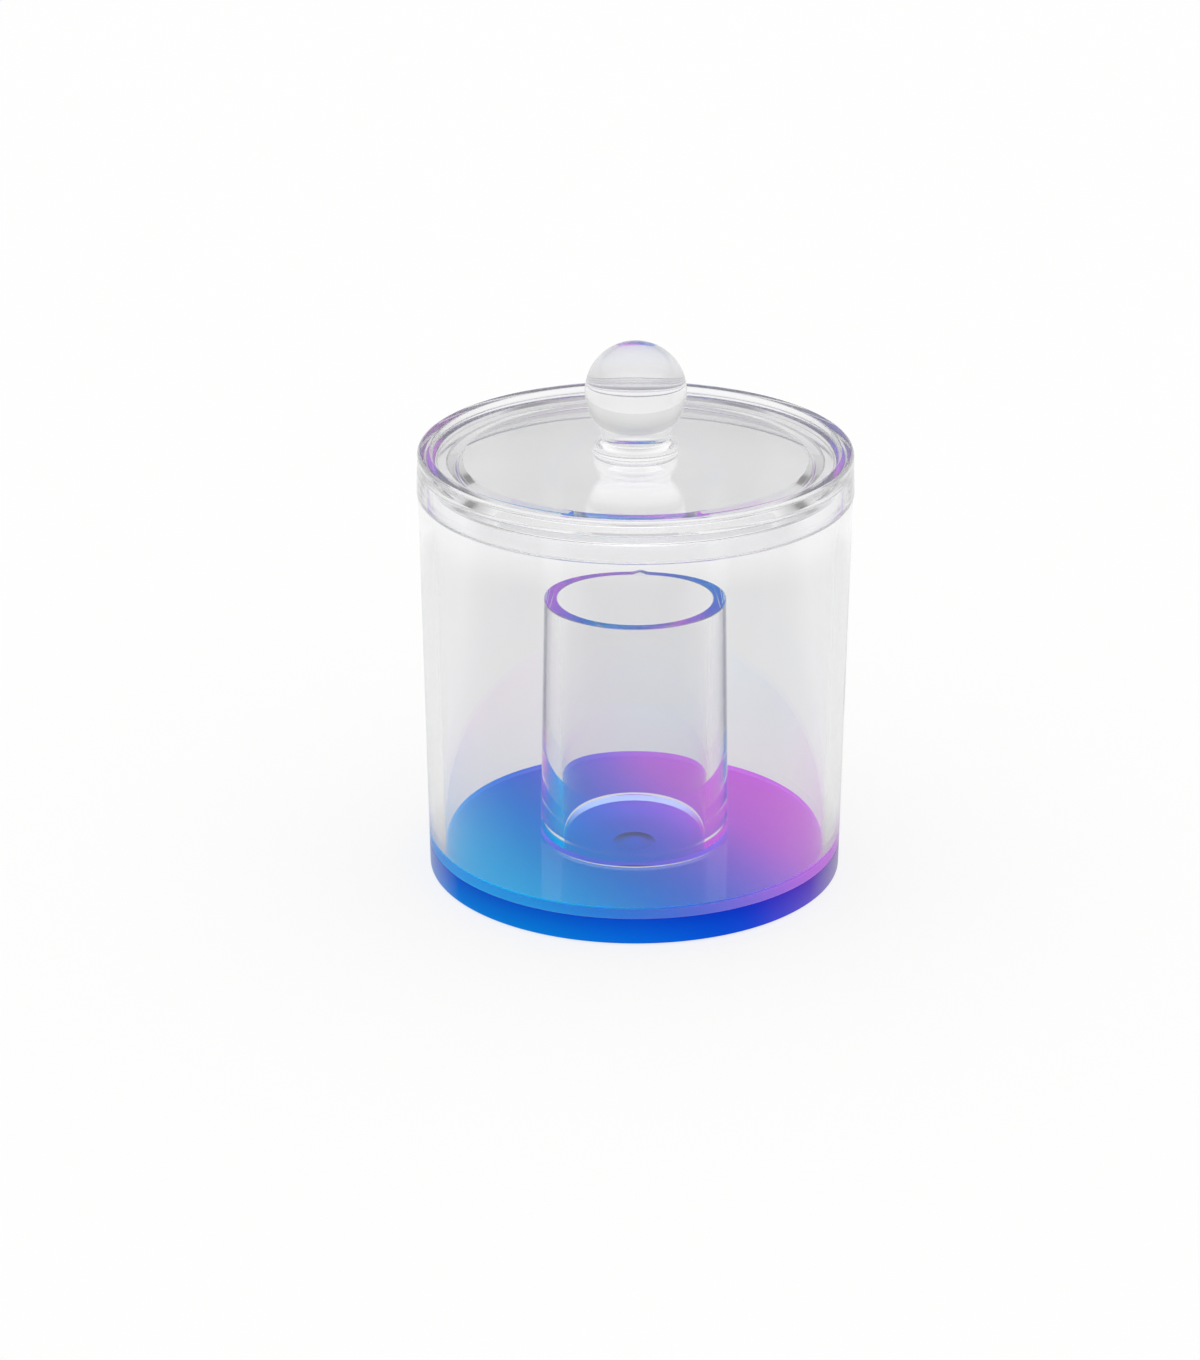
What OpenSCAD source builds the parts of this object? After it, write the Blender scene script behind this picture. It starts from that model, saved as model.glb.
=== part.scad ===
// Clear round holder for cotton pads and swabs: a drafted canister on a
// colour-shifting base plate, an upright swab tube inside, and a lift-off lid
// with a ball knob. Millimetres, +Z up, origin at the centre of the underside.

/* [Base plate] */
// Diameter of the holder where it stands on the table
base_d = 95; // [88:0.5:102]
// Thickness of the colour-shifting base plate
plate_t = 6.3; // [4:0.1:8]
// Radius on the lower edge of the base plate
plate_edge_r = 0.6; // [0.3:0.1:1.5]
// Diameter of the shallow moulding mark under the base plate
mark_d = 9.9; // [6:0.1:12]
// Depth of the moulding mark
mark_depth = 0.4; // [0.2:0.1:1]

/* [Canister] */
// Lean of the outside wall, in degrees
wall_draft = 0.98; // [0.5:0.02:1.4]
// Thickness of the side wall
wall_t = 3.5; // [3.2:0.1:4.5]
// Thickness of the clear floor
floor_t = 1.2; // [1:0.1:3]
// Radius in the corner where the wall meets the floor
floor_fillet_r = 0.8; // [0.4:0.1:3]
// Height of the shoulder that the lid rests on
shoulder_h = 91; // [84:0.5:100]
// Height of the lip that locates the lid
lip_h = 5.6; // [5:0.1:5.8]
// How far the lip stands in from the outside of the wall
shoulder_w = 2; // [1.8:0.1:2.3]
// Radius on the two top edges of the lip
lip_edge_r = 0.3; // [0.1:0.05:0.5]
// Height of the part below the mouth where the bore narrows
narrow_h = 14.6; // [10:0.2:20]
// How much the bore has narrowed at the mouth, on the radius
mouth_narrow = 0.64; // [0.3:0.02:0.8]

/* [Swab tube] */
// Outside diameter of the tube at its foot
tube_foot_d = 43.6; // [38:0.2:48]
// Thickness of the tube's wall at its foot
tube_wall_t = 5.1; // [4.6:0.1:6]
// Height of the tube above the floor
tube_h = 58; // [50:0.2:64]
// Lean of the tube's outside and bore, in degrees
tube_draft = 1.05; // [0.5:0.05:1.3]
// Chamfer round the outside of the foot
tube_foot_chamfer = 0.5; // [0.2:0.1:1]
// Radius on the edges of the tube's rim
tube_edge_r = 0.35; // [0.15:0.05:0.6]
// Diameter of the moulding nub on the rim
nub_d = 2.2; // [1.5:0.1:2.6]
// Height of the moulding nub
nub_h = 0.6; // [0.3:0.1:1]
// Place of the nub round the rim, in degrees from +X
nub_angle = 86; // [0:1:359]

/* [Lid] */
// How far the lid's side stands proud of the canister wall
lid_step = 0.3; // [0.1:0.05:0.6]
// Height of the lid from its seat to the top of its rim
lid_h = 9.75; // [9.25:0.25:12]
// Lean of the lid's side, in degrees
lid_draft = 1.9; // [0.5:0.1:3]
// Radius on the outer edge of the rim
lid_edge_r = 0.8; // [0.4:0.1:1.2]
// Width of the raised rim at its top
rim_w = 2.9; // [2.2:0.1:4]
// Height of the raised rim above the panel
rim_h = 1.35; // [0.8:0.05:1.6]
// Lean of the rim's inner face, in degrees
rim_slope = 12; // [2:1:30]
// Thickness of the flat panel
panel_t = 2.4; // [2.2:0.1:2.8]
// Height of the ring under the panel that drops into the mouth
plug_h = 3.2; // [2:0.1:4]
// Width of the ring at its lower edge
plug_w = 2.3; // [1.6:0.1:3.2]
// Lean of the ring's inner face, in degrees
plug_slope = 47; // [30:1:55]
// Room between the canister's lip and the lid
lip_gap = 0.3; // [0.2:0.05:0.5]

/* [Knob] */
// Diameter of the ball
ball_d = 22.9; // [21:0.1:24]
// Height of the ball's centre above the panel
ball_h = 14.6; // [13.6:0.1:16]
// Diameter where the ball runs into the neck
neck_d = 16.4; // [15.8:0.2:17.4]
// Diameter at the waist, where the neck stands on the foot
waist_d = 15; // [13:0.2:15.6]
// Height of the waist above the panel
waist_h = 3.7; // [3:0.1:4.4]
// Diameter of the foot
foot_d = 19.1; // [17.6:0.1:21]
// Height of the foot's straight edge, below its domed top
foot_edge_h = 0.5; // [0.3:0.1:1]
// Diameter of the spigot that is glued into the panel
spigot_d = 6; // [4:0.2:8]
// Length of the spigot
spigot_l = 1.2; // [0.8:0.1:1.2]
// Room for glue round and under the spigot
glue_gap = 0.1; // [0.05:0.05:0.2]

/* [Hidden] */
$fn = 128;
// Overlap that keeps a cut or a joined form from ending on a shared face
eps = 0.5;

// Height of the canister's floor
floor_z = plate_t + floor_t;
// Height of the top of the lip
lip_z = shoulder_h + lip_h;
// Height of the top of the tube
tube_z = floor_z + tube_h;
// Height of the top of the lid's rim
rim_z = shoulder_h + lid_h;
// Height of the top of the panel
panel_z = rim_z - rim_h;
// Height of the underside of the panel
panel_low_z = panel_z - panel_t;
// Height of the face of the lid just above the lip
over_lip_z = lip_z + lip_gap;

// Outside and inside radius of the canister wall at a height
function wall_r(z) = base_d / 2 + z * tan(wall_draft);
function narrowing(z) = mouth_narrow * pow(max(0, z - lip_z + narrow_h) / narrow_h, 2);
function bore_r(z) = wall_r(z) - wall_t - narrowing(z);
// Outside and inside radius of the swab tube at a height above the floor
function tube_r(h) = tube_foot_d / 2 - h * tan(tube_draft);
function tube_bore_r(h) = tube_foot_d / 2 - tube_wall_t + h * tan(tube_draft);

// Radius of the outside of the lip
lip_r = wall_r(lip_z) - shoulder_w;
// Radius of the inside of the lid's skirt, round the lip
skirt_r = lip_r + lip_gap;
// Radius of the lid's side at its seat, and its lean inwards with height
lid_r = wall_r(shoulder_h) + lid_step;
function lid_side_r(h) = lid_r - h * tan(lid_draft);
// Radius of the inner edge of the rim at its top
rim_r = lid_side_r(lid_h) - rim_w;
// Outside and inside radius of the ring that drops into the mouth
plug_r = bore_r(lip_z) - lip_gap;
plug_bore_r = plug_r - plug_w;
// Number of straight pieces in each curve drawn point by point
curve_steps = 8;

// Corner of a rectangle with a quarter circle taken out of it, for rounding an
// outside edge at a point; sx and sz point away from the material
module edge_round(x, z, r, sx, sz) {
    translate([x, z])
        difference() {
            polygon([
                [-sx * r, -sz * r],
                [sx * eps, -sz * r],
                [sx * eps, sz * eps],
                [-sx * r, sz * eps]
            ]);
            translate([-sx * r, -sz * r])
                circle(r);
        }
}

// Moulded plate in the same drafted outline as the wall above it
module base_plate_profile() {
    difference() {
        polygon([
            [0, 0],
            [wall_r(0), 0],
            [wall_r(plate_t), plate_t],
            [0, plate_t]
        ]);
        edge_round(wall_r(0), 0, plate_edge_r, 1, -1);
        translate([-eps, -eps])
            square([mark_d / 2 + eps, mark_depth + eps]);
    }
}

module base_plate() {
    color("mediumslateblue")
        rotate_extrude()
            base_plate_profile();
}

// Fills the corner between the wall and the floor of the canister
module floor_fillet() {
    corner_r = bore_r(floor_z);
    centre_r = corner_r + floor_fillet_r * (tan(wall_draft) - 1 / cos(wall_draft));
    touch_r = centre_r + floor_fillet_r * cos(wall_draft);
    touch_z = floor_z + floor_fillet_r * (1 - sin(wall_draft));
    difference() {
        polygon([
            [centre_r, floor_z - eps],
            [corner_r + eps, floor_z - eps],
            [corner_r + eps, touch_z],
            [touch_r, touch_z],
            [centre_r, floor_z + floor_fillet_r]
        ]);
        translate([centre_r, floor_z + floor_fillet_r])
            circle(floor_fillet_r);
    }
}

module canister_profile() {
    narrow_bore = [
        for (step = [0:curve_steps])
            let (z = lip_z - narrow_h * step / curve_steps)
                [bore_r(z), z]
    ];
    difference() {
        polygon([
            [0, plate_t],
            [wall_r(plate_t), plate_t],
            [wall_r(shoulder_h), shoulder_h],
            [lip_r, shoulder_h],
            [lip_r, lip_z],
            each narrow_bore,
            [bore_r(floor_z), floor_z],
            [0, floor_z]
        ]);
        edge_round(lip_r, lip_z, lip_edge_r, 1, 1);
        edge_round(bore_r(lip_z), lip_z, lip_edge_r, -1, 1);
    }
    floor_fillet();
}

// Clear cup: wall, floor and locating lip in one moulding
module canister() {
    color([0.88, 0.9, 0.92, 0.45])
        rotate_extrude()
            canister_profile();
}

module swab_tube_profile() {
    difference() {
        polygon([
            [tube_bore_r(0), floor_z],
            [tube_r(0) - tube_foot_chamfer, floor_z],
            [tube_r(tube_foot_chamfer), floor_z + tube_foot_chamfer],
            [tube_r(tube_h), tube_z],
            [tube_bore_r(tube_h), tube_z]
        ]);
        edge_round(tube_r(tube_h), tube_z, tube_edge_r, 1, 1);
        edge_round(tube_bore_r(tube_h), tube_z, tube_edge_r, -1, 1);
    }
}

// Small raised mark left on the tube's rim by the mould
module nub() {
    rim_middle_r = (tube_r(tube_h) + tube_bore_r(tube_h)) / 2;
    rotate(nub_angle)
        translate([rim_middle_r, 0, tube_z - eps])
            cylinder(h = nub_h + eps, d = nub_d);
}

// Clear open tube for swabs, bonded upright on the floor
module swab_tube() {
    color([0.85, 0.88, 0.93, 0.5]) {
        rotate_extrude()
            swab_tube_profile();
        intersection() {
            nub();
            rotate_extrude()
                translate([tube_bore_r(tube_h) + tube_edge_r, 0])
                    square([tube_r(tube_h) - tube_bore_r(tube_h) - 2 * tube_edge_r, tube_z + nub_h]);
        }
    }
}

module lid_profile() {
    rim_foot_r = rim_r - rim_h * tan(rim_slope);
    difference() {
        polygon([
            [0, panel_low_z],
            [plug_bore_r - plug_h * tan(plug_slope), panel_low_z],
            [plug_bore_r, panel_low_z - plug_h],
            [plug_r, panel_low_z - plug_h],
            [plug_r, over_lip_z],
            [skirt_r, over_lip_z],
            [skirt_r, shoulder_h],
            [lid_r, shoulder_h],
            [lid_side_r(lid_h), rim_z],
            [rim_r, rim_z],
            [rim_foot_r, panel_z],
            [0, panel_z]
        ]);
        edge_round(lid_side_r(lid_h), rim_z, lid_edge_r, 1, 1);
    }
}

// Clear lid: raised rim, flat panel, ring that drops into the mouth, and the
// skirt round the lip
module lid() {
    color([0.86, 0.88, 0.92, 0.5])
        difference() {
            rotate_extrude()
                lid_profile();
            translate([0, 0, panel_z - spigot_l - glue_gap])
                cylinder(h = spigot_l + glue_gap + eps, d = spigot_d + 2 * glue_gap);
        }
}

// Domed foot and the neck that widens from it into the ball
module knob_stem_profile() {
    foot_r = foot_d / 2;
    waist_r = waist_d / 2;
    neck_r = neck_d / 2;
    neck_h = ball_h - sqrt(pow(ball_d / 2, 2) - pow(neck_r, 2));
    dome = [
        for (step = [0:curve_steps])
            let (turn = 90 * step / curve_steps)
                [
                    waist_r + (foot_r - waist_r) * cos(turn),
                    foot_edge_h + (waist_h - foot_edge_h) * sin(turn)
                ]
    ];
    translate([0, panel_z])
        polygon([
            [0, 0],
            [foot_r, 0],
            each dome,
            [neck_r, neck_h],
            [0, ball_h]
        ]);
}

// Clear ball knob with a spigot glued into the panel
module knob() {
    color([0.84, 0.87, 0.92, 0.6]) {
        translate([0, 0, panel_z + ball_h])
            sphere(d = ball_d);
        rotate_extrude()
            knob_stem_profile();
        translate([0, 0, panel_z - spigot_l])
            cylinder(h = spigot_l + eps, d = spigot_d);
    }
}

base_plate();
canister();
swab_tube();
lid();
knob();
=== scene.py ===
import math

import bmesh
import bpy
from mathutils import Euler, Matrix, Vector


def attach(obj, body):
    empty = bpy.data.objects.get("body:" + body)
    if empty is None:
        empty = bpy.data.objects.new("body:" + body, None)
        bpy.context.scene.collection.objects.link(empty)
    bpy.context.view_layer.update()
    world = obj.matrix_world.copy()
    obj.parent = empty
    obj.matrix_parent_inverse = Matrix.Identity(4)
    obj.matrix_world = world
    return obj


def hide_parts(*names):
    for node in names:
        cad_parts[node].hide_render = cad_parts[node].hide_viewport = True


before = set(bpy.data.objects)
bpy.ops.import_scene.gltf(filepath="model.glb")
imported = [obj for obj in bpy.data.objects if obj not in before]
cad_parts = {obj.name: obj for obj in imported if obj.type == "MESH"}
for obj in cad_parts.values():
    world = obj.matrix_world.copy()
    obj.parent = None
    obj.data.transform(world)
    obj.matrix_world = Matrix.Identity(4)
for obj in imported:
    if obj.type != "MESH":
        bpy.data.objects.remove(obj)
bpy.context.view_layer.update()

# Camera
# The photograph looks down on the holder through a long lens, from about a
# metre away, with the holder a little right of the middle of the frame.
PHOTO_HIGH_PX = 1360
FOCAL_PX = 4266
CAMERA_AWAY = 0.9793
CAMERA_ELEVATION = math.radians(21.92)
CAMERA_AIM = Vector((-0.0080, 0, 0.0445))

camera_data = bpy.data.cameras.new("camera")
camera_data.sensor_width = 36
camera_data.lens = camera_data.sensor_width * FOCAL_PX / PHOTO_HIGH_PX
camera_data.clip_start = 0.05
camera = bpy.data.objects.new("camera", camera_data)
towards_camera = Vector((0, -math.cos(CAMERA_ELEVATION), math.sin(CAMERA_ELEVATION)))
camera.location = CAMERA_AIM + CAMERA_AWAY * towards_camera
camera.rotation_euler = Euler((math.pi / 2 - CAMERA_ELEVATION, 0, 0))
bpy.context.scene.collection.objects.link(camera)
bpy.context.scene.camera = camera


# Base plate
# A round moulded plate, coated so that its colour runs from cyan through blue
# and violet to magenta. It is bonded under the clear canister.
MM = 0.001
TURNED_STEPS = 256
ROUND_SEGMENTS = 6
SHARP_ANGLE = math.radians(35)
SAME_POINT = 1e-7
ON_RING = 1e-6
LEVEL_MM = 0.001
BONDED_INDEX = 1


def turned(name, outline, bonded=()):
    """A piece turned round the Z axis from its outline, in millimetres.

    Each corner of the outline is (radius, height), and a third number rounds it.
    bonded lists flat rings as (height, inner radius, outer radius). Their faces
    take the piece's second material.
    """
    bm = bmesh.new()
    corners = [bm.verts.new((r * MM, 0, z * MM)) for r, z, *_ in outline]
    pairs = list(zip(corners, corners[1:]))
    if outline[-1][0] > 0:
        pairs.append((corners[-1], corners[0]))
    sides = [bm.edges.new(pair) for pair in pairs]
    bmesh.ops.spin(
        bm,
        geom=corners + sides,
        cent=(0, 0, 0),
        axis=(0, 0, 1),
        angle=2 * math.pi,
        steps=TURNED_STEPS,
        use_merge=True,
    )
    bmesh.ops.remove_doubles(bm, verts=bm.verts, dist=SAME_POINT)
    for r, z, *rounding in outline:
        for radius in rounding:
            round_ring(bm, r, z, radius)
    bmesh.ops.recalc_face_normals(bm, faces=bm.faces)
    for face in bm.faces:
        middle = face.calc_center_median() / MM
        for z, r_low, r_high in bonded:
            flat = all(abs(v.co.z / MM - z) < LEVEL_MM for v in face.verts)
            if flat and r_low < math.hypot(middle.x, middle.y) < r_high:
                face.material_index = BONDED_INDEX
    return finished(name, bm)


def round_ring(bm, r, z, radius):
    """Rounds the sharp ring at a radius and height, all in millimetres."""
    ring = [
        edge
        for edge in bm.edges
        if all(
            abs(math.hypot(v.co.x, v.co.y) - r * MM) < ON_RING and abs(v.co.z - z * MM) < ON_RING
            for v in edge.verts
        )
    ]
    bmesh.ops.bevel(
        bm,
        geom=ring,
        offset=radius * MM,
        offset_type="OFFSET",
        segments=ROUND_SEGMENTS,
        profile=0.5,
        affect="EDGES",
        material=-1,
    )


def finished(name, bm):
    """The bmesh as an object whose broad faces keep their shading beside small rounds."""
    for face in bm.faces:
        face.smooth = True
    for edge in bm.edges:
        edge.smooth = edge.calc_face_angle(0) < SHARP_ANGLE
    mesh = bpy.data.meshes.new(name)
    bm.to_mesh(mesh)
    bm.free()
    piece = bpy.data.objects.new(name, mesh)
    bpy.context.scene.collection.objects.link(piece)
    weighted = piece.modifiers.new("shading", "WEIGHTED_NORMAL")
    weighted.keep_sharp = True
    weighted.weight = 100
    return piece


BASE_R = 47.5
PLATE_T = 6.3
WALL_LEAN = math.tan(math.radians(0.98))


def wall_r(z):
    """The outer radius of the plate and the canister at a height."""
    return BASE_R + z * WALL_LEAN


MARK_R = 4.95
MARK_DEPTH = 0.4
base_plate = turned(
    "base_plate_iridescent",
    [
        (0, MARK_DEPTH),
        (MARK_R, MARK_DEPTH),
        (MARK_R, 0),
        (wall_r(0), 0, 0.6),
        (wall_r(PLATE_T), PLATE_T, 0.1),
        (0, PLATE_T),
    ],
    bonded=[(PLATE_T, 0, BASE_R)],
)


def feed(tree, shader_node, inputs):
    """Gives each input a plain value, or links it to the output that feeds it."""
    for name, value in inputs.items():
        if isinstance(value, bpy.types.NodeSocket):
            tree.links.new(value, shader_node.inputs[name])
        else:
            shader_node.inputs[name].default_value = value


def node(tree, kind, inputs=None, **settings):
    made = tree.nodes.new(kind)
    for name, value in settings.items():
        setattr(made, name, value)
    feed(tree, made, inputs or {})
    return made


def maths(tree, operation, *values):
    return node(tree, "ShaderNodeMath", dict(enumerate(values)), operation=operation).outputs[0]


def ranged(tree, value, start, end, low=0, high=1):
    """A value carried from one range to another, and held at the ends."""
    inputs = {"Value": value, "From Min": start, "From Max": end, "To Min": low, "To Max": high}
    return node(tree, "ShaderNodeMapRange", inputs).outputs["Result"]


def mixed(tree, share, first, second, blend="MIX"):
    """Two colours mixed, or blended, by the share of the second."""
    inputs = {0: share, 6: first, 7: second}
    return node(tree, "ShaderNodeMix", inputs, data_type="RGBA", blend_type=blend).outputs[2]


def parts(tree, vector):
    return node(tree, "ShaderNodeSeparateXYZ", {"Vector": vector}).outputs


def object_place(tree):
    return node(tree, "ShaderNodeTexCoord").outputs["Object"]


def ramp(tree, value, stops, interpolation="LINEAR"):
    """The colour at a value from 0 to 1, along (place, colour) stops."""
    made = node(tree, "ShaderNodeValToRGB", {"Fac": value})
    made.color_ramp.interpolation = interpolation
    elements = made.color_ramp.elements
    first, *between, last = stops
    elements[0].position, elements[0].color = first[0], (*first[1], 1)
    elements[1].position, elements[1].color = last[0], (*last[1], 1)
    for place, colour in between:
        elements.new(place).color = (*colour, 1)
    return made.outputs["Color"]


def new_material(name):
    material = bpy.data.materials.new(name)
    material.use_nodes = True
    return material, material.node_tree, material.node_tree.nodes["Principled BSDF"]


# Colours along the run, in linear light, from its cyan end to its magenta end
RUN_DIRECTION = math.radians(30)
RUN_HALF = 42 * MM
FLOOR_RUN = [
    (0.00, (0.000, 0.440, 0.770)),
    (0.10, (0.000, 0.410, 0.750)),
    (0.22, (0.010, 0.300, 0.700)),
    (0.33, (0.020, 0.220, 0.680)),
    (0.45, (0.070, 0.180, 0.650)),
    (0.56, (0.150, 0.170, 0.680)),
    (0.69, (0.330, 0.175, 0.720)),
    (0.81, (0.550, 0.170, 0.700)),
    (1.00, (0.620, 0.170, 0.700)),
]
SIDE_RUN = [
    (0.00, (0.000, 0.105, 0.440)),
    (0.10, (0.000, 0.090, 0.455)),
    (0.22, (0.000, 0.074, 0.470)),
    (0.35, (0.000, 0.056, 0.455)),
    (0.50, (0.000, 0.035, 0.435)),
    (0.60, (0.020, 0.032, 0.430)),
    (0.78, (0.105, 0.053, 0.370)),
    (1.00, (0.180, 0.120, 0.270)),
]
SIDE_START_R = BASE_R - 0.7
SIDE_FULL_R = BASE_R - 0.3
# Painted light at the side's foot and painted shade at its upper edge
SIDE_FOOT_PAINTED_LIGHT = (1.15, 1.45, 1.12, 1)
SIDE_TOP_PAINTED_SHADE = (0.80, 0.60, 0.88, 1)
# Painted shade at the moulding mark, as a dark crescent on its far half
MARK_PAINTED_SHADE = (0.10, 0.10, 0.20, 1)
CRESCENT_IN_R = 1.6
CRESCENT_OUT_R = 3.6
CRESCENT_NEAR_Y = -1
CRESCENT_FAR_Y = 3.5
CRESCENT_LEAST = 0.12
# Painted sheen, a pale colour on the side where it turns away from the eye
PAINTED_SHEEN = (0.36, 0.36, 0.41, 1)
SHEEN_START = 0.55
SHEEN_MOST = 0.7
SPENT = (0.22, 0.22, 0.30, 1)
SPENT_START = 11
SPENT_FULL = 13
# Painted glow: the coating gives off light in its own colour
COATING_PAINTED_GLOW = 0.60
COATING_ROUGHNESS = 0.45
COATING_SPECULAR = 0.05

iridescent, tree, shader = new_material("iridescent_coating")
place = object_place(tree)
mapping = node(tree, "ShaderNodeMapping", {"Vector": place, "Rotation": (0, 0, -RUN_DIRECTION)})
run_place = parts(tree, mapping.outputs["Vector"])
along = ranged(tree, run_place["X"], -RUN_HALF, RUN_HALF)
floor_colour = ramp(tree, along, FLOOR_RUN, "B_SPLINE")
# Painted light and shade: the side is lighter at its foot, by the table, and darker and bluer
# towards its upper edge
up_side = ranged(tree, run_place["Z"], 0, PLATE_T * MM)
side_painted_shade = mixed(tree, up_side, SIDE_FOOT_PAINTED_LIGHT, SIDE_TOP_PAINTED_SHADE)
side_colour = mixed(tree, 1, ramp(tree, along, SIDE_RUN, "B_SPLINE"), side_painted_shade, "MULTIPLY")
level_place = node(tree, "ShaderNodeVectorMath", {0: place, 1: (1, 1, 0)}, operation="MULTIPLY")
reach = node(tree, "ShaderNodeVectorMath", {0: level_place.outputs["Vector"]}, operation="LENGTH")
radius = reach.outputs["Value"]
at_side = ranged(tree, radius, SIDE_START_R * MM, SIDE_FULL_R * MM)
from_outside = maths(tree, "SUBTRACT", 1, node(tree, "ShaderNodeNewGeometry").outputs["Backfacing"])
side = maths(tree, "MULTIPLY", at_side, from_outside)
colour = mixed(tree, side, floor_colour, side_colour)
# Painted shade in the moulding mark's recess: a dark crescent on its far half
outer_ring = ranged(tree, radius, CRESCENT_IN_R * MM, CRESCENT_OUT_R * MM)
near, far = CRESCENT_NEAR_Y * MM, CRESCENT_FAR_Y * MM
far_half = ranged(tree, parts(tree, place)["Y"], near, far, low=CRESCENT_LEAST)
in_mark = maths(tree, "LESS_THAN", radius, (MARK_R + 0.1) * MM)
painted_crescent_shade = maths(tree, "MULTIPLY", maths(tree, "MULTIPLY", outer_ring, far_half), in_mark)
colour = mixed(tree, painted_crescent_shade, colour, MARK_PAINTED_SHADE)
# Painted sheen: the side goes pale where it turns away from the eye
turned_away = node(tree, "ShaderNodeLayerWeight").outputs["Facing"]
painted_sheen = maths(tree, "MULTIPLY", ranged(tree, turned_away, SHEEN_START, 1, high=SHEEN_MOST), side)
colour = mixed(tree, painted_sheen, colour, PAINTED_SHEEN)
# Light that meets the clear walls many times on its way to the eye loses the colour
ray_depth = node(tree, "ShaderNodeLightPath").outputs["Ray Depth"]
colour = mixed(tree, ranged(tree, ray_depth, SPENT_START, SPENT_FULL), colour, SPENT)
# The coating also glows in its own colour: painted light
feed(tree, shader, {"Base Color": colour, "Emission Color": colour, "Emission Strength": COATING_PAINTED_GLOW})
feed(tree, shader, {"Roughness": COATING_ROUGHNESS, "Specular IOR Level": COATING_SPECULAR})
# Glued faces let light straight through, as no air is left between the pieces
bonded, tree, shader = new_material("bonded_face")
feed(tree, shader, {"Alpha": 0})
base_plate.data.materials.append(iridescent)
base_plate.data.materials.append(bonded)
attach(base_plate, "canister_body")
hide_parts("base_plate")


# Canister
# One clear moulding: a drafted wall whose bore narrows towards the mouth, a thin
# floor with a rounded corner, and the lip that locates the lid. It is bonded to
# the base plate.
FLOOR_Z = 7.5
WALL_T = 3.5
SHOULDER_Z = 91
LIP_Z = 96.6
LIP_STEP = 2
LIP_R = wall_r(LIP_Z) - LIP_STEP
NARROW_H = 14.6
MOUTH_NARROW = 0.64
NARROW_STEPS = 8


def bore_r(z):
    """The radius of the bore, which narrows over the last stretch to the mouth."""
    above = max(0, z - LIP_Z + NARROW_H) / NARROW_H
    return wall_r(z) - WALL_T - MOUTH_NARROW * above**2


bore = []
for step in range(1, NARROW_STEPS + 1):
    z = LIP_Z - NARROW_H * step / NARROW_STEPS
    bore.append((bore_r(z), z))
TUBE_FOOT_R = 21.8
TUBE_WALL_T = 5.1
TUBE_FOOT_CHAMFER = 0.5
TUBE_BOND_OUT_R = TUBE_FOOT_R - TUBE_FOOT_CHAMFER
TUBE_BOND_IN_R = TUBE_FOOT_R - TUBE_WALL_T
canister = turned(
    "canister_clear",
    [
        (0, PLATE_T),
        (wall_r(PLATE_T), PLATE_T, 0.1),
        (wall_r(SHOULDER_Z), SHOULDER_Z, 0.15),
        (LIP_R, SHOULDER_Z),
        (LIP_R, LIP_Z, 0.3),
        (bore_r(LIP_Z), LIP_Z, 0.3),
        *bore,
        (wall_r(FLOOR_Z) - WALL_T, FLOOR_Z, 0.8),
        (TUBE_BOND_OUT_R, FLOOR_Z),
        (TUBE_BOND_IN_R, FLOOR_Z),
        (0, FLOOR_Z),
    ],
    bonded=[(PLATE_T, 0, BASE_R), (FLOOR_Z, TUBE_BOND_IN_R, TUBE_BOND_OUT_R)],
)

CLOUD_SCALE = 90
CLOUD_LOW = 0.35
CLOUD_HIGH = 0.65
WAVE_SCALE = 45
mould = bpy.data.node_groups.new("moulded_surface", "ShaderNodeTree")
for label, way, kind in (
    ("Place", "INPUT", "NodeSocketVector"),
    ("Least", "INPUT", "NodeSocketFloat"),
    ("Most", "INPUT", "NodeSocketFloat"),
    ("Roughness", "OUTPUT", "NodeSocketFloat"),
    ("Height", "OUTPUT", "NodeSocketFloat"),
):
    mould.interface.new_socket(label, in_out=way, socket_type=kind)
given = node(mould, "NodeGroupInput").outputs
clouds = {"Vector": given["Place"], "Scale": CLOUD_SCALE, "Detail": 3}
cloud = node(mould, "ShaderNodeTexNoise", clouds).outputs["Fac"]
rough = ranged(mould, cloud, CLOUD_LOW, CLOUD_HIGH, given["Least"], given["Most"])
waves = {"Vector": given["Place"], "Scale": WAVE_SCALE, "Detail": 1}
wave = node(mould, "ShaderNodeTexNoise", waves).outputs["Fac"]
node(mould, "NodeGroupOutput", {"Roughness": rough, "Height": wave})


PLASTIC_IOR = 1.49


def clear_material(name, tint, least, most, wave):
    """Clear plastic of least to most roughness, with the mould's faint waves."""
    material, tree, shader = new_material(name)
    inputs = {"Place": object_place(tree), "Least": least, "Most": most}
    surface = node(tree, "ShaderNodeGroup", inputs, node_tree=mould).outputs
    bump = node(tree, "ShaderNodeBump", {"Distance": wave * MM, "Height": surface["Height"]})
    feed(tree, shader, {"Base Color": (*tint, 1), "IOR": PLASTIC_IOR, "Transmission Weight": 1})
    feed(tree, shader, {"Roughness": surface["Roughness"], "Normal": bump.outputs["Normal"]})
    return material


def cover(piece, material, chosen):
    """Adds a material to a piece and puts it on the faces that pass a test."""
    piece.data.materials.append(material)
    for face in piece.data.polygons:
        if chosen(face):
            face.material_index = len(piece.data.materials) - 1


def bonded_far(face):
    return face.material_index == BONDED_INDEX and face.center.y > 0


def level(face, z, slack):
    """Whether a face's middle lies at a height, within so many millimetres."""
    return abs(face.center.z / MM - z) < slack


SEAT_SLACK = 0.05
CLEAR_TINT = (0.985, 0.985, 0.99)
SATIN_TINT = (0.97, 0.97, 0.98)
# Painted reflection and glow for the arc on the glue's far half
PAINTED_ARCH_COLOUR = (0.62, 0.74, 0.95, 1)
PAINTED_ARCH_FULL_Y = 14
PAINTED_ARCH_MOST = 0.75
PAINTED_ARCH_GLOW = 0.5
GLUE_ROUGHNESS = 0.5
clear = clear_material("clear_plastic", CLEAR_TINT, least=0, most=0.02, wave=0.02)
canister.data.materials.append(clear)
canister.data.materials.append(bonded)
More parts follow.
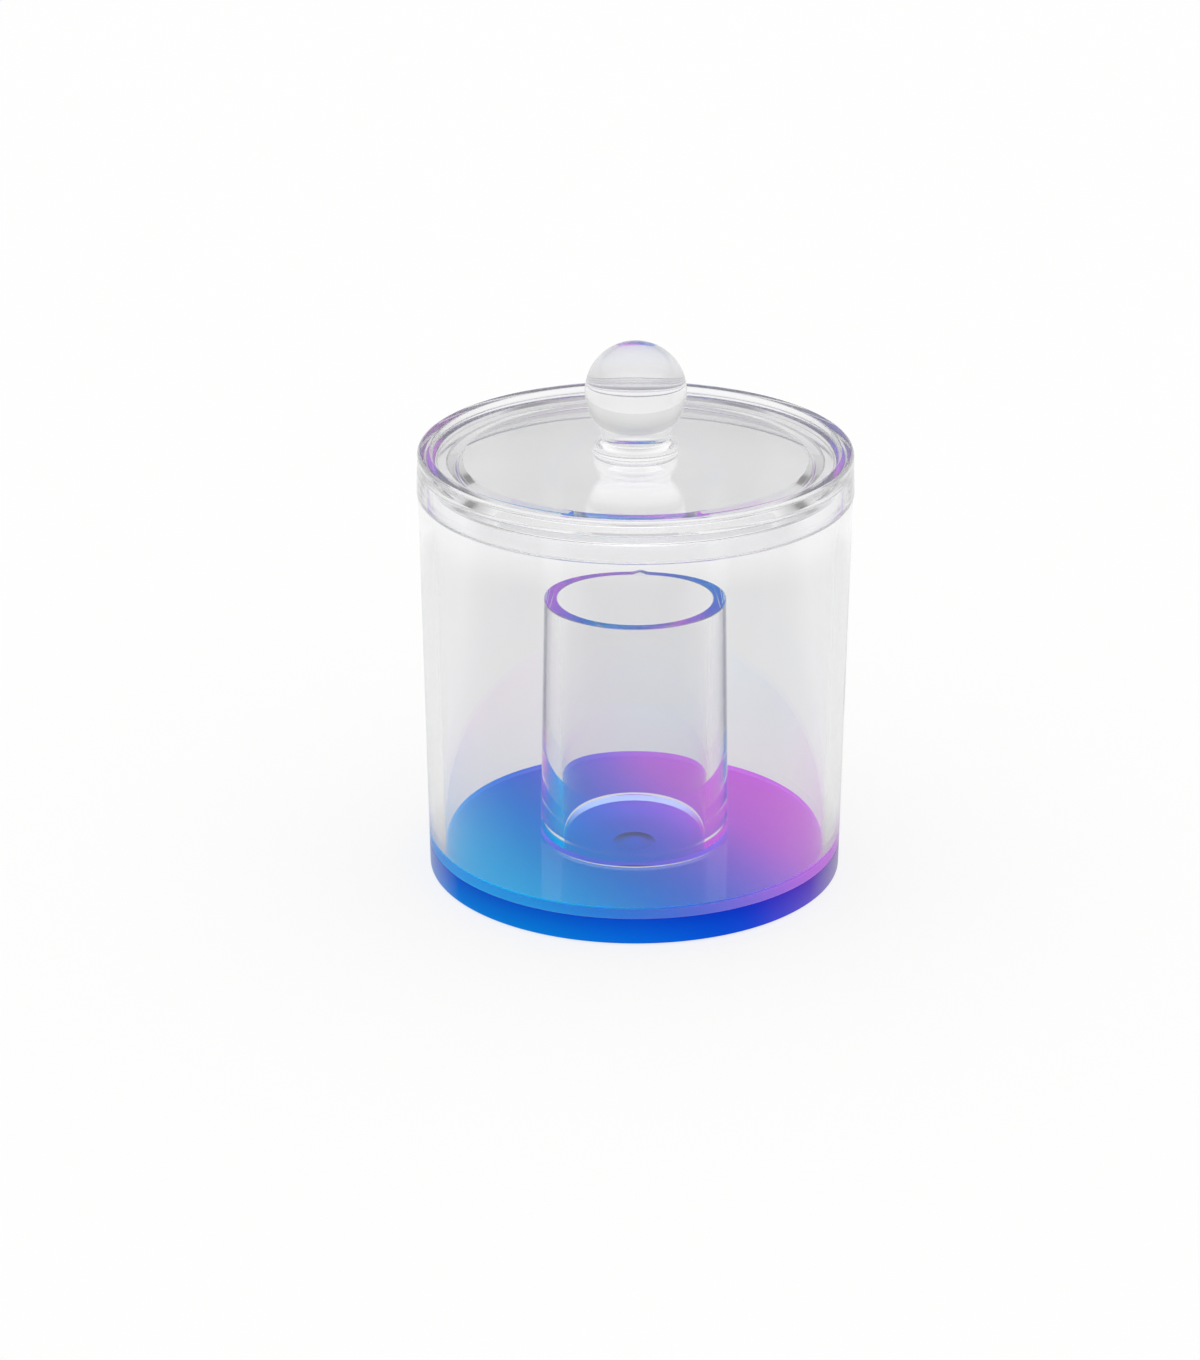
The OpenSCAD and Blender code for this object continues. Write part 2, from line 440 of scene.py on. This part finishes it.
# The glue under the tube carries a painted reflection: a glowing light-blue arc on its far half
# that shows from inside, but not in reflections
glue_and_painted_arch, tree, shader = new_material("glue_with_painted_arch")
straight = maths(tree, "LESS_THAN", node(tree, "ShaderNodeLightPath").outputs["Glossy Depth"], 0.5)
back = parts(tree, object_place(tree))["Y"]
painted_arch_share = ranged(tree, back, 0, PAINTED_ARCH_FULL_Y * MM, high=PAINTED_ARCH_MOST)
feed(tree, shader, {"Base Color": PAINTED_ARCH_COLOUR, "Emission Color": PAINTED_ARCH_COLOUR, "Emission Strength": PAINTED_ARCH_GLOW})
feed(tree, shader, {"Alpha": maths(tree, "MULTIPLY", straight, painted_arch_share)})
feed(tree, shader, {"Roughness": GLUE_ROUGHNESS})
cover(canister, glue_and_painted_arch, lambda face: bonded_far(face) and level(face, FLOOR_Z, LEVEL_MM))
# The shoulder and the skirt's edge, which rub on each other, are satin
satin = clear_material("satin_seat", SATIN_TINT, least=0.4, most=0.5, wave=0.02)
cover(
    canister,
    satin,
    lambda face: level(face, SHOULDER_Z, SEAT_SLACK) and face.center.xy.length > LIP_R * MM,
)
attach(canister, "canister_body")
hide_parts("canister")


# Swab tube
# A clear open tube, thicker at its foot, bonded upright in the middle of the
# floor. The mould has left a small nub on the back of its rim.
TUBE_H = 58
TUBE_LEAN = math.tan(math.radians(1.05))
NUB_W = 1.3
NUB_H = 0.6
NUB_ANGLE = math.radians(86)
TUBE_RIM_ROUND = 0.35
tube_top = FLOOR_Z + TUBE_H
tube_r = TUBE_FOOT_R - TUBE_H * TUBE_LEAN
tube_bore_r = TUBE_FOOT_R - TUBE_WALL_T + TUBE_H * TUBE_LEAN
swab_tube = turned(
    "swab_tube_clear",
    [
        (TUBE_BOND_IN_R, FLOOR_Z),
        (TUBE_BOND_OUT_R, FLOOR_Z),
        (TUBE_FOOT_R, FLOOR_Z + TUBE_FOOT_CHAMFER),
        (tube_r, tube_top, TUBE_RIM_ROUND),
        (tube_bore_r, tube_top, TUBE_RIM_ROUND),
    ],
    bonded=[(FLOOR_Z, TUBE_BOND_IN_R, TUBE_BOND_OUT_R)],
)
for vertex in swab_tube.data.vertices:
    if vertex.co.z > (tube_top - 0.01) * MM:
        along_rim = tube_r * (math.atan2(vertex.co.y, vertex.co.x) - NUB_ANGLE)
        vertex.co.z += NUB_H * MM * math.exp(-((along_rim / NUB_W) ** 2))
clear = clear_material("clear_tube_plastic", CLEAR_TINT, least=0, most=0.02, wave=0.02)
swab_tube.data.materials.append(clear)
swab_tube.data.materials.append(bonded)
# The tube's glued foot carries the same painted glowing arc
cover(swab_tube, glue_and_painted_arch, bonded_far)
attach(swab_tube, "canister_body")
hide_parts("swab_tube")


# Lid
# One clear moulding: a panel inside a low rim, a ring under it that drops into
# the mouth and is sloped inside, and a skirt that goes round the canister's lip
# and rests on its shoulder.
RIM_Z = 100.75
PANEL_Z = 99.4
PANEL_LOW_Z = 97.0
GROOVE_GAP = 0.3
GROOVE_Z = LIP_Z + GROOVE_GAP
LID_PROUD = 0.3
LID_R = wall_r(SHOULDER_Z) + LID_PROUD
LID_LEAN = math.tan(math.radians(1.9))
RIM_W = 2.9
RIM_SLOPE = math.tan(math.radians(12))
rim_out = LID_R - (RIM_Z - SHOULDER_Z) * LID_LEAN
rim_in = rim_out - RIM_W
PLUG_H = 3.2
PLUG_Z = PANEL_LOW_Z - PLUG_H
PLUG_GAP = 0.3
PLUG_W = 2.3
PLUG_OUT_R = bore_r(LIP_Z) - PLUG_GAP
PLUG_IN_R = PLUG_OUT_R - PLUG_W
PLUG_SLOPE = math.tan(math.radians(47))
FOOT_R = 9.55
# A hair of air keeps the skirt's edge out of the shoulder's plane
AIR = 0.03
SKIRT_Z = SHOULDER_Z + AIR
lid = turned(
    "lid_clear",
    [
        (0, PANEL_LOW_Z),
        (PLUG_IN_R - PLUG_H * PLUG_SLOPE, PANEL_LOW_Z, 0.2),
        (PLUG_IN_R, PLUG_Z, 0.3),
        (PLUG_OUT_R, PLUG_Z, 0.3),
        (PLUG_OUT_R, GROOVE_Z, 0.15),
        (LIP_R + GROOVE_GAP, GROOVE_Z, 0.15),
        (LIP_R + GROOVE_GAP, SKIRT_Z, 0.3),
        (LID_R, SKIRT_Z, 0.4),
        (rim_out, RIM_Z, 0.8),
        (rim_in, RIM_Z, 0.25),
        (rim_in - (RIM_Z - PANEL_Z) * RIM_SLOPE, PANEL_Z, 0.3),
        (FOOT_R, PANEL_Z),
        (0, PANEL_Z),
    ],
    bonded=[(PANEL_Z, 0, FOOT_R)],
)
clear = clear_material("clear_lid_plastic", CLEAR_TINT, least=0.01, most=0.04, wave=0.03)
lid.data.materials.append(clear)
lid.data.materials.append(bonded)
cover(lid, satin, lambda face: level(face, SKIRT_Z, SEAT_SLACK))
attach(lid, "lid_body")
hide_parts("lid")


# Knob
# A clear ball on a short neck and a domed foot, turned in one piece. Its
# foot is bonded to the middle of the panel.
BALL_R = 11.45
BALL_H = 14.6
BALL_Z = PANEL_Z + BALL_H
NECK_R = 8.2
WAIST_R = 7.5
WAIST_H = 3.7
WAIST_ROUND = 0.5
FOOT_EDGE_H = 0.5
BALL_RINGS = 48
DOME_RINGS = 8
ball_foot = math.asin(NECK_R / BALL_R)
knob_outline = [(0, BALL_Z + BALL_R)]
for ring in range(1, BALL_RINGS + 1):
    turn_down = (math.pi - ball_foot) * ring / BALL_RINGS
    knob_outline.append((BALL_R * math.sin(turn_down), BALL_Z + BALL_R * math.cos(turn_down)))
knob_outline.append((WAIST_R, PANEL_Z + WAIST_H, WAIST_ROUND))
for ring in range(1, DOME_RINGS + 1):
    turn_down = math.pi / 2 * ring / DOME_RINGS
    knob_outline.append((
        WAIST_R + (FOOT_R - WAIST_R) * math.sin(turn_down),
        PANEL_Z + FOOT_EDGE_H + (WAIST_H - FOOT_EDGE_H) * math.cos(turn_down),
    ))
knob_outline.append((FOOT_R, PANEL_Z))
knob_outline.append((0, PANEL_Z))
knob = turned("knob_clear", knob_outline, bonded=[(PANEL_Z, 0, FOOT_R)])
clear = clear_material("clear_knob_plastic", CLEAR_TINT, least=0.03, most=0.07, wave=0.03)
knob.data.materials.append(clear)
knob.data.materials.append(bonded)
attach(knob, "lid_body")
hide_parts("knob")


# Floor and sky
# A pale table that the camera sees as white, and soft light from overhead. For
# rays mirrored once the table's front and a low part of the sky are dim, so that
# the clear floor doesn't mirror them over the colour under it.
FLOOR_HALF = 12
FLOOR_DROP = 0.0003
bm = bmesh.new()
bmesh.ops.create_grid(bm, x_segments=1, y_segments=1, size=FLOOR_HALF)
floor_mesh = bpy.data.meshes.new("floor")
bm.to_mesh(floor_mesh)
bm.free()
for vertex in floor_mesh.vertices:
    vertex.co.z = -FLOOR_DROP
floor = bpy.data.objects.new("floor", floor_mesh)
bpy.context.scene.collection.objects.link(floor)


def greys(stops):
    return [(place, (level,) * 3) for place, level in stops]


def mirrored_tone(tree, light, tone, least):
    """A tone for rays that were mirrored once. Other rays see at least the least tone."""
    once = maths(tree, "COMPARE", light["Glossy Depth"], 1, 0.5)
    return maths(tree, "MAXIMUM", tone, maths(tree, "MULTIPLY_ADD", once, -least, least))


TABLE_FRONT_Y = -0.20
TABLE_BACK_Y = 0.34
TABLE_RUN = [
    (0, 0.50),
    (0.08, 0.40),
    (0.15, 0.20),
    (0.26, 0.20),
    (0.36, 0.55),
    (0.42, 0.84),
    (0.70, 0.82),
    (0.79, 0.94),
    (0.90, 0.94),
    (1, 0.86),
]
TABLE_LEAST = 0.82
TABLE = (0.80, 0.795, 0.785, 1)
WHITE = (1.05, 1.05, 1.05, 1)
KEPT_WHITE = 0.72
KEPT_CLEAR = 0.55
floor_material, tree, shader = new_material("pale_table")
tree.nodes.remove(shader)
light = node(tree, "ShaderNodeLightPath").outputs
towards_back = ranged(tree, parts(tree, object_place(tree))["Y"], TABLE_FRONT_Y, TABLE_BACK_Y)
table_tone = ramp(tree, towards_back, greys(TABLE_RUN))
table_tone = mirrored_tone(tree, light, table_tone, TABLE_LEAST)
table_tone = mixed(tree, light["Is Camera Ray"], table_tone, TABLE)
white_tone = mixed(tree, light["Is Camera Ray"], table_tone, WHITE)
matt = node(tree, "ShaderNodeBsdfDiffuse", {"Color": table_tone}).outputs["BSDF"]
white = node(tree, "ShaderNodeEmission", {"Color": white_tone}).outputs["Emission"]
camera_part = maths(tree, "MULTIPLY", light["Is Camera Ray"], KEPT_WHITE)
even_part = maths(tree, "MULTIPLY_ADD", light["Is Transmission Ray"], KEPT_CLEAR, camera_part)
surface = node(tree, "ShaderNodeMixShader", {0: even_part, 1: matt, 2: white}).outputs["Shader"]
feed(tree, tree.nodes["Material Output"], {"Surface": surface})
floor_mesh.materials.append(floor_material)

SKY_RUN = [
    (0.0, 0.78),
    (0.08, 0.76),
    (0.28, 0.62),
    (0.34, 0.25),
    (0.41, 0.25),
    (0.47, 0.58),
    (0.62, 0.95),
    (1.0, 1.6),
]
SKY_LEAST = 0.60
world = bpy.data.worlds.new("soft_sky")
bpy.context.scene.world = world
world.use_nodes = True
tree = world.node_tree
light = node(tree, "ShaderNodeLightPath").outputs
up = parts(tree, node(tree, "ShaderNodeTexCoord").outputs["Generated"])["Z"]
sky_tone = mirrored_tone(tree, light, ramp(tree, up, greys(SKY_RUN)), SKY_LEAST)
sky_tone = mixed(tree, light["Is Camera Ray"], sky_tone, (1, 1, 1, 1))
feed(tree, tree.nodes["Background"], {"Color": sky_tone, "Strength": 1})

view = bpy.context.scene.view_settings
view.view_transform = "Standard"
BOUNCES = 64
cycles = bpy.context.scene.cycles
cycles.max_bounces = BOUNCES
cycles.transmission_bounces = BOUNCES
cycles.glossy_bounces = BOUNCES
cycles.transparent_max_bounces = BOUNCES
